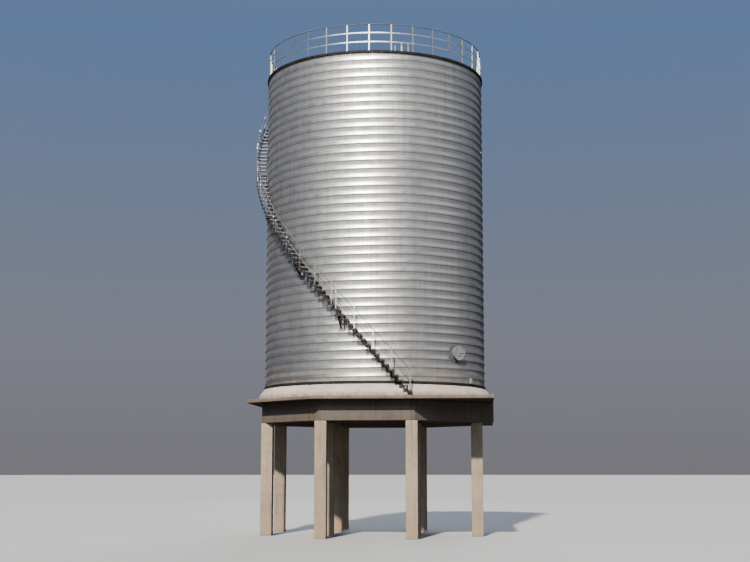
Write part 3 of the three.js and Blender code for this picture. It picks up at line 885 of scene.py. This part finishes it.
def wall_plate(angle, top):
    """The bolted plate on the wall that a bracket stands out from."""
    pad = bar("wall_plate", (0.012, 0.28, 0.62), (BRACKET_WALL + 0.004, 0, -0.275), edge=0.003)
    bolt = hex_bolt("wall_bolt", (BRACKET_WALL + 0.010, -0.11, -0.545), OUT, 0.028, 0.012)
    bolts = repeat_along(repeat_along(bolt, 2, (0, 0.22, 0)), 3, (0, 0, 0.27))
    return swing(join("wall_plate", [pad, bolts]), angle, top)


def string_shoe():
    """The bolted plate under the foot of the outer string."""
    pad = bar("string_shoe", (0.10, 0.24, 0.010), (OUTER_STRING - 0.03, -0.06, DECK + 0.0055), edge=0.002)
    bolt = hex_bolt("shoe_bolt", (OUTER_STRING - 0.055, -0.15, DECK + 0.010), UP, 0.026, 0.014)
    return swing(join("string_shoe", [pad, repeat_along(bolt, 2, (0, 0.18, 0))]), STAIR_START)


def stair_flight(number, first, count):
    """One flight; the lowest treads of the first one are shorter, because the curb is beside them."""
    parts = [cut_string("outer_string", OUTER_STRING, first, count, DECK + 0.008),
             cut_string("inner_string", INNER_STRING, first, count, BASE - 0.016)]
    treads = []
    low = 0
    if first == 0:
        low = LOW_TREADS
        treads.append(tread_row(LOW_TREAD_INNER, 0, low))
        parts.append(string_shoe())
    treads.append(tread_row(TREAD_INNER, first + low, count - low))
    parts += [knee_bracket(*bracket_place(index))
              for index in range(FIRST_BRACKET, first + count, BRACKET_EVERY) if index > first]
    flight = smooth(join(f"wall_stair_{number}", parts), 30)
    hand_over(flight, DARK, [f"stair_flight_{number}"])
    gratings = smooth(join(f"stair_treads_{number}", treads), 30)
    hand_over(gratings, GRATING, [f"stair_flight_{number}"])


def hand_posts(first, count):
    """The posts of one handrail: angle iron on a shoe, with a clamp round the middle tube."""
    iron = upright_angle("hand_post", HAND_RADIUS + HAND_POST, 2 * HAND_POST, 0.002,
                         HANDRAIL_HEIGHT - HAND_TUBE, 0.005)
    shoe = bar("hand_shoe", (0.060, 0.060, 0.008), (HAND_RADIUS - 0.008, 0, 0.006), edge=0.002)
    profile = [(0.0, -0.028), (0.024, -0.028), (0.026, -0.024), (0.026, 0.024), (0.024, 0.028), (0.0, 0.028)]
    clamp = turned("hand_clamp", profile, (HAND_RADIUS, 0, HANDRAIL_HEIGHT / 2), steps=10)
    post = join("hand_posts", [iron, shoe, clamp])
    swing(post, tread_start(first) - TREAD_ANGLE / 2, tread_level(first) - 0.003)
    return repeat_round(post, (count - 1) // POST_EVERY + 1, -TREAD_ANGLE * POST_EVERY, RISER * POST_EVERY)


def stair_handrail(number, first, count):
    start = tread_start(first) - TREAD_ANGLE / 2
    overlap = math.degrees((HAND_POST + HAND_TUBE) / HAND_RADIUS)
    end = tread_start(first + count) - TREAD_ANGLE / 2 + overlap
    foot = tread_level(first) - RISER / 2
    climb = (start - end) / TREAD_ANGLE * RISER
    tubes = [sweep("hand_tube", ring_points(HAND_RADIUS, foot + height, HAND_TUBE), start, end, climb,
                   2 * count) for height in (HANDRAIL_HEIGHT - HAND_TUBE, HANDRAIL_HEIGHT / 2)]
    tubes = smooth(join(f"stair_tubes_{number}", tubes))
    hand_over(tubes, TUBE, [f"stair_handrail_{number}"])
    posts = smooth(join(f"stair_rail_{number}", [hand_posts(first, count)]))
    hand_over(posts, PALE, [f"stair_handrail_{number}"])


def stair():
    first = 0
    for number, count in enumerate(FLIGHTS, start=1):
        stair_flight(number, first, count)
        stair_handrail(number, first, count)
        first += count


stair()


# Landing: grating between two edge plates, on two knee brackets, its rail, and all the wall plates
LANDING_FROM = tread_start(TREAD_COUNT - 1)
LANDING_TO = RAIL_FIRST + RAIL_BAY * OPEN_BAY - 360
LANDING_SPAN = LANDING_FROM - LANDING_TO
LANDING_TOP = RIM - 0.003
LANDING_INNER = 4.975
LANDING_OUTER = OUTER_STRING - 0.006
LANDING_WIDTH = LANDING_OUTER - LANDING_INNER
LANDING_MIDDLE = (LANDING_INNER + LANDING_OUTER) / 2
LANDING_BRACKETS = [(LANDING_FROM - LANDING_SPAN * share, LANDING_TOP - 0.04) for share in (0.2, 0.8)]


def landing_grating():
    bar_count, rod_count = 40, 5
    bearing = bar("landing_bar", (LANDING_WIDTH, 0.005, 0.034), (LANDING_MIDDLE, 0, LANDING_TOP - 0.017))
    swing(bearing, LANDING_FROM - LANDING_SPAN / (2 * bar_count))
    parts = [repeat_round(bearing, bar_count, -LANDING_SPAN / bar_count)]
    for rod in range(rod_count):
        section = flat_section(LANDING_INNER + 0.015 + 0.1 * rod, LANDING_TOP - 0.008, 0.008, 0.006)
        parts.append(sweep("landing_rod", section, LANDING_FROM, LANDING_TO))
    return join("landing_grating", parts)


def landing():
    parts = []
    for radius, level, depth in ((4.965, -0.051, 0.098), (LANDING_OUTER, -0.045, 0.21)):
        section = flat_section(radius, RIM + level, depth, 0.012)
        parts.append(sweep("landing_edge", section, LANDING_FROM - 0.02, LANDING_TO))
    for angle in (LANDING_FROM - 0.05, LANDING_TO + 0.05):
        end = bar("landing_end", (LANDING_WIDTH, 0.008, 0.10), (LANDING_MIDDLE, 0, RIM - 0.055), edge=0.002)
        parts.append(swing(end, angle))
    parts.extend(knee_bracket(*place) for place in LANDING_BRACKETS)
    return smooth(join("rim_landing", parts), 30)


def landing_rail():
    radius = HAND_RADIUS - 0.0125
    start = LANDING_FROM - TREAD_ANGLE / 2
    end = LANDING_TO + math.degrees(2 * HAND_TUBE / radius)
    back = 5.02
    parts = []
    for level in (HANDRAIL_HEIGHT / 2, HANDRAIL_HEIGHT - HAND_TUBE):
        parts.append(sweep("landing_tube", ring_points(radius, RIM + level, HAND_TUBE), start, end, steps=14))
        closing = round_bar("landing_return", (back, 0, RIM + level), (radius, 0, RIM + level), HAND_TUBE)
        parts.append(swing(closing, end))
    top = HANDRAIL_HEIGHT - 0.013
    profile = [(0.0, 0.0), (0.030, 0.0), (0.030, 0.008), (HAND_POST, 0.012), (HAND_POST, top - 0.002),
               (0.0, top)]
    for place, angle in ((radius, start), (radius, (start + end) / 2), (radius, end), (back, end)):
        post = turned("landing_post", profile, (place, 0, LANDING_TOP), steps=10)
        parts.append(swing(post, angle))
    return smooth(join("landing_tubes", parts))


def wall_plates():
    """The plates of all the brackets, of the stair and of the landing."""
    places = [bracket_place(index) for index in range(FIRST_BRACKET, TREAD_COUNT - 1, BRACKET_EVERY)]
    return smooth(join("bracket_plates", [wall_plate(*place) for place in places + LANDING_BRACKETS]), 30)


hand_over(landing(), DARK, ["stair_landing"])
hand_over(landing_grating(), GRATING, ["stair_landing"])
hand_over(landing_rail(), TUBE, ["landing_rail"])
FLIGHT_NODES = [f"stair_flight_{number}" for number in range(1, len(FLIGHTS) + 1)]
hand_over(wall_plates(), DULL, [*FLIGHT_NODES, "stair_landing"])


# Manhole: a flanged neck on its stiffening ring, and the bolted cover with its swing arm
MANHOLE_ANGLE = -41.25
MANHOLE_LEVEL = BASE + 1.36
MANHOLE_CENTRE = (0, 0, MANHOLE_LEVEL)
MANHOLE_STEPS = 48
NECK_END = 5.0795
COVER_FACE = NECK_END + 0.001


def manhole_neck():
    profile = [(0.235, 4.80), (0.26, 4.80), (0.26, 4.892), (0.272, 4.902), (0.262, 4.916), (0.26, 5.050),
               (0.266, 5.0595), (0.308, 5.0595), (0.31, 5.062), (0.31, NECK_END), (0.235, NECK_END)]
    neck = turned("manhole_tube", profile, MANHOLE_CENTRE, along=OUT, steps=MANHOLE_STEPS)
    deselect()
    bpy.ops.mesh.primitive_circle_add(vertices=MANHOLE_STEPS, radius=0.262, location=(4.91, 0, MANHOLE_LEVEL),
                                      rotation=(0, math.pi / 2, 0))
    pad = settle("manhole_pad")
    for grow in (1.13, 1.12, 1.11, 1.10):
        edit(pad)
        bpy.ops.mesh.select_all(action="DESELECT")
        bpy.ops.object.mode_set(mode="OBJECT")
        for vertex in pad.data.vertices[-MANHOLE_STEPS:]:
            vertex.select = True
        edit(pad, "EDGE")
        bpy.ops.mesh.extrude_edges_move()
        bpy.ops.transform.resize(value=(1, grow, grow), center_override=MANHOLE_CENTRE)
    modify(pad, "CAST", cast_type="CYLINDER", use_radius_as_size=False, size=4.906, factor=1.0, use_z=False)
    modify(pad, "SOLIDIFY", thickness=0.012, offset=0.0)
    return smooth(swing(join("manhole_tube", [neck, clean(pad)]), MANHOLE_ANGLE))


def on_cover(out, across, up):
    """A place on the manhole cover, by how far it stands out from its face and lies from its centre."""
    return Vector((COVER_FACE + out, across, MANHOLE_LEVEL + up))


def manhole_cover():
    profile = [(0.0, 0.0), (0.31, 0.0), (0.31, 0.013), (0.307, 0.016), (0.250, 0.0165), (0.235, 0.013),
               (0.12, 0.014), (0.0, 0.014)]
    disc = turned("cover_disc", [(radius, COVER_FACE + out) for radius, out in profile], MANHOLE_CENTRE,
                  along=OUT, steps=MANHOLE_STEPS)
    bolt = hex_bolt("cover_bolt", on_cover(0.015, 0, 0.284), OUT, 0.03, 0.016)
    bolts = repeat_round(bolt, 16, centre=MANHOLE_CENTRE, axis="X")
    hold = grip("cover_grip", on_cover(0.01, 0, -0.07), ACROSS, OUT, leg_length=0.048, grip_height=0.045)
    arm = bar("cover_arm", (0.014, 0.36, 0.045), on_cover(0.032, 0.16, 0.03), edge=0.003)
    pad = bar("cover_arm_pad", (0.016, 0.06, 0.06), on_cover(0.022, 0.0, 0.03), edge=0.003)
    hinge = round_bar("cover_hinge", on_cover(0.02, 0.335, -0.06), on_cover(0.02, 0.335, 0.12), 0.016, 12)
    return smooth(swing(join("cover_disc", [disc, bolts, *hold, arm, pad, hinge]), MANHOLE_ANGLE))


hand_over(manhole_neck(), TUBE, ["manhole_neck"])
hand_over(manhole_cover(), DULL, ["manhole_cover"])


# Foot stub: a small boxed nozzle with its cover plate, above the base ring
STUB_ANGLE = -30


def foot_stub():
    low, high = BASE + 0.122, BASE + 0.35
    height, middle = high - low, (low + high) / 2
    body = bar("stub_box", (0.10, 0.092, height - 0.012), (4.962, 0, middle), edge=0.006, segments=2)
    cover = bar("stub_cover", (0.012, 0.108, height - 0.006), (5.014, 0, middle), edge=0.003)
    bolt = hex_bolt("stub_bolt", (5.018, -0.039, low + 0.02), OUT, 0.016, 0.004)
    bolts = repeat_along(repeat_along(bolt, 2, (0, 0.078, 0)), 3, (0, 0, 0.094))
    return smooth(swing(join("stub_box", [body, cover, bolts]), STUB_ANGLE))


hand_over(foot_stub(), DULL, ["wall_stub"])


# Discharge outlet: a ribbed hopper with its slide gate, under the deck
OUTLET_TOP = DECK - 0.1505
OUTLET_MOUTH = 0.86
OUTLET_THROAT = 0.40


def discharge_outlet():
    bpy.ops.mesh.primitive_cone_add(vertices=4, radius1=OUTLET_THROAT / math.sqrt(2),
                                    radius2=OUTLET_MOUTH / math.sqrt(2), depth=0.40, end_fill_type="NGON",
                                    location=on_axis(OUTLET_TOP - 0.21), rotation=(0, 0, math.pi / 4))
    hopper = settle("outlet_hopper")
    with whole(hopper):
        bpy.ops.mesh.bevel(offset=0.01, segments=2, affect="EDGES")
    flanges = [bar("outlet_flange", (size, size, 0.014), on_axis(OUTLET_TOP - drop), edge=0.003)
               for size, drop in ((0.90, 0.007), (0.54, 0.395))]
    corners = [(0.225, 0.388), (0.262, 0.388), (0.437, 0.014), (0.40, 0.014)]
    rib = plate("outlet_rib", [(out, -0.005, OUTLET_TOP - drop) for out, drop in corners], (0, 0.010, 0))
    ribs = repeat_round(swing(rib, 0), 4)
    gate = bar("gate_frame", (0.56, 0.56, 0.088), on_axis(OUTLET_TOP - 0.455), edge=0.006, segments=2)
    in_gate = on_axis(OUTLET_TOP - 0.458)
    slide = bar("gate_slide", (0.52, 0.39, 0.022), in_gate + Vector((0.27, 0, 0)), edge=0.003)
    lip = bar("gate_lip", (0.02, 0.42, 0.07), in_gate + Vector((0.528, 0, 0)), edge=0.003)
    corner = on_axis(OUTLET_TOP - 0.404) + Vector((-0.24, -0.255, 0))
    bolt = hex_bolt("gate_bolt", corner, UP, 0.02, 0.010)
    bolts = repeat_round(repeat_along(bolt, 6, (0.096, 0, 0)), 4)
    return smooth(join("outlet_hopper", [hopper, *flanges, ribs, gate, slide, lip, bolts]), 30)


hand_over(discharge_outlet(), DARK, ["discharge_outlet"])


# Concrete: columns, beams, deck slab and curb, with worn arrises and slightly uneven faces
def uneven(piece, depth, size):
    """Sinks a cast surface by a little, here more and there less, and leaves its foot where it stands."""
    lowest = min(vertex.co.z for vertex in piece.data.vertices)
    free = piece.vertex_groups.new(name="free")
    free.add([vertex.index for vertex in piece.data.vertices if vertex.co.z > lowest + 0.001], 1.0, "REPLACE")
    waves = bpy.data.textures.new(piece.name + "_waves", "CLOUDS")
    waves.noise_scale = size
    modify(piece, "DISPLACE", texture=waves, texture_coords="LOCAL", strength=depth, mid_level=1.0,
           vertex_group="free")
    piece.vertex_groups.clear()
    return piece


def cut_grid(piece, spacing):
    """Cuts a solid's faces along an even grid, so that they can be made uneven."""
    corners = [Vector(corner) for corner in piece.bound_box]
    for axis in range(3):
        low = min(corner[axis] for corner in corners)
        high = max(corner[axis] for corner in corners)
        cuts = int((high - low) / spacing)
        normal = [float(i == axis) for i in range(3)]
        for cut in range(1, cuts + 1):
            place = [0.0, 0.0, 0.0]
            place[axis] = low + (high - low) * cut / (cuts + 1)
            cut_through(piece, place, normal)


def columns():
    names = [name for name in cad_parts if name.startswith("column")]
    low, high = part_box(names[0])
    size = high - low
    master = bar("column_cast", size, (0, 0, size.z / 2), edge=0.018, segments=2)
    cut_grid(master, spacing=0.2)
    for name in names:
        low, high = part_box(name)
        column = copy_of(master, "cast_" + name)
        column.location = ((low.x + high.x) / 2, (low.y + high.y) / 2, low.z)
        column = smooth(uneven(fix(column), depth=0.012, size=0.7), 25)
        hand_over(column, COLUMN, [name])
    bpy.data.objects.remove(master)


def cast_from(node, arris, spacing, depth, material):
    """A cast piece on the outline of its solid, with its arrises worn and its faces uneven."""
    piece = clean(copy_of(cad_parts[node], "cast_" + node))
    with whole(piece):
        bpy.ops.mesh.dissolve_limited(angle_limit=math.radians(1))
    modify(piece, "BEVEL", width=arris, segments=2, limit_method="ANGLE", angle_limit=math.radians(30))
    cut_grid(piece, spacing)
    piece = smooth(uneven(clean(piece), depth, size=0.9), 25)
    hand_over(piece, material, [node])


def curb():
    profile = [(0.0, 0.0), (5.2, 0.0), (5.2, 0.02), (5.192, 0.07), (5.176, 0.13), (5.160, 0.19),
               (5.140, 0.25), (5.104, 0.30), (5.070, 0.345), (5.030, 0.40), (4.995, 0.445), (4.972, 0.48),
               (4.955, 0.5), (4.90, 0.5), (0.0, 0.5)]
    ring = turned("curb_ring", profile, on_axis(DECK), steps=288)
    return smooth(uneven(ring, depth=0.020, size=0.35), 50)


columns()
cast_from("ring_beam", arris=0.022, spacing=0.45, depth=0.014, material=BEAM)
cast_from("floor_beams", arris=0.018, spacing=0.6, depth=0.010, material=BEAM)
cast_from("deck_slab", arris=0.020, spacing=0.45, depth=0.014, material=SLAB)
hand_over(curb(), CURB, ["curb"])


# Stage: a plain pale floor and a soft sky, with its tones from straight down to straight up
FLOOR_RADIUS = 900
FLOOR_TONE = (0.42, 0.415, 0.40)
GROUND_TONE = (0.145, 0.135, 0.125)
ZENITH_TONE = (0.20, 0.28, 0.41)
SKY_TONES = ((0.480, GROUND_TONE), (0.498, (0.185, 0.182, 0.20)), (0.55, (0.205, 0.215, 0.26)),
             (0.66, (0.12, 0.195, 0.36)))


def floor():
    bpy.ops.mesh.primitive_circle_add(vertices=96, radius=FLOOR_RADIUS, fill_type="NGON",
                                      location=on_axis(GROUND))
    ground = settle("floor")
    pale = bpy.data.materials.new("pale_floor")
    pale.use_nodes = True
    shader = pale.node_tree.nodes["Principled BSDF"]
    shader.inputs["Base Color"].default_value = (*FLOOR_TONE, 1)
    shader.inputs["Roughness"].default_value = 0.9
    ground.data.materials.append(pale)
    ground.visible_diffuse = False
    ground.visible_glossy = False


def sky():
    world = bpy.data.worlds.new("studio")
    bpy.context.scene.world = world
    world.use_nodes = True
    nodes, links = world.node_tree.nodes, world.node_tree.links
    place = nodes.new("ShaderNodeTexCoord")
    parts = nodes.new("ShaderNodeSeparateXYZ")
    rise = nodes.new("ShaderNodeMapRange")
    rise.inputs["From Min"].default_value = -1.0
    tones = nodes.new("ShaderNodeValToRGB")
    tones.color_ramp.elements[0].color = (*GROUND_TONE, 1)
    tones.color_ramp.elements[1].color = (*ZENITH_TONE, 1)
    for height, tone in SKY_TONES:
        tones.color_ramp.elements.new(height).color = (*tone, 1)
    links.new(place.outputs["Generated"], parts.inputs[0])
    links.new(parts.outputs["Z"], rise.inputs["Value"])
    links.new(rise.outputs["Result"], tones.inputs["Fac"])
    links.new(tones.outputs["Color"], nodes["Background"].inputs["Color"])


# Lamps: each looks at the silo's axis from its azimuth and elevation, in degrees
SUN_DISTANCE = 80
PANEL_DISTANCE = 70
MIDDLE_HEIGHT = 10.5


def lamp(name, kind, azimuth, elevation, distance, power, colour, aim_height):
    data = bpy.data.lights.new(name, kind)
    data.energy = power
    data.color = colour
    light = bpy.data.objects.new(name, data)
    bpy.context.scene.collection.objects.link(light)
    back = polar(math.cos(math.radians(elevation)), azimuth, math.sin(math.radians(elevation)))
    light.location = on_axis(aim_height) + back * distance
    light.rotation_euler = (-back).to_track_quat("-Z", "Y").to_euler()
    light.visible_camera = False
    return light


def sun(name, azimuth, elevation, power, spread, colour, in_gloss):
    """A sun as wide as its spread in degrees, which shows in gloss or not."""
    light = lamp(name, "SUN", azimuth, elevation, SUN_DISTANCE, power, colour, MIDDLE_HEIGHT)
    light.data.angle = math.radians(spread)
    light.visible_glossy = in_gloss


def panel(name, azimuth, elevation, power, size, colour, aim_height):
    """A soft panel that shows only in the gloss of the steel."""
    light = lamp(name, "AREA", azimuth, elevation, PANEL_DISTANCE, power, colour, aim_height)
    light.data.shape = "RECTANGLE"
    light.data.size, light.data.size_y = size
    light.visible_diffuse = False


# Camera: where it stands beside, in front of and above the silo's foot, and how far up it looks
CAMERA_SIDE = 4.6217
CAMERA_BACK = 58.0607
CAMERA_HEIGHT = 2.7374
CAMERA_REACH = 58.2
CAMERA_PITCH = 8.34
CAMERA_LENS = 62.3


def camera():
    data = bpy.data.cameras.new("camera")
    data.sensor_width = 36
    data.lens = CAMERA_LENS
    data.clip_end = 2000
    made = bpy.data.objects.new("camera", data)
    bpy.context.scene.collection.objects.link(made)
    made.location = AXIS + Vector((CAMERA_SIDE, -CAMERA_BACK, CAMERA_HEIGHT))
    aim = on_axis(CAMERA_HEIGHT + CAMERA_REACH * math.tan(math.radians(CAMERA_PITCH)))
    made.rotation_euler = (aim - made.location).to_track_quat("-Z", "Y").to_euler()
    bpy.context.scene.camera = made


floor()
sky()
sun("key_sun", -98, 36, power=8.0, spread=2.0, colour=(1.0, 0.94, 0.86), in_gloss=True)
panel("key_panel", -96, 24, power=98000, size=(8, 38), colour=(1.0, 0.955, 0.89), aim_height=13)
panel("side_panel", -14, 12, power=6500, size=(56, 50), colour=(1.0, 0.97, 0.94), aim_height=11)
panel("rear_panel", 96, 20, power=18000, size=(10, 50), colour=(0.96, 0.98, 1.0), aim_height=13)
sun("rear_sun", 80, 48, power=1.3, spread=25.0, colour=(0.95, 0.97, 1.0), in_gloss=False)
sun("fill_sun", -70, 2, power=0.38, spread=60.0, colour=(0.82, 0.91, 1.0), in_gloss=False)
camera()
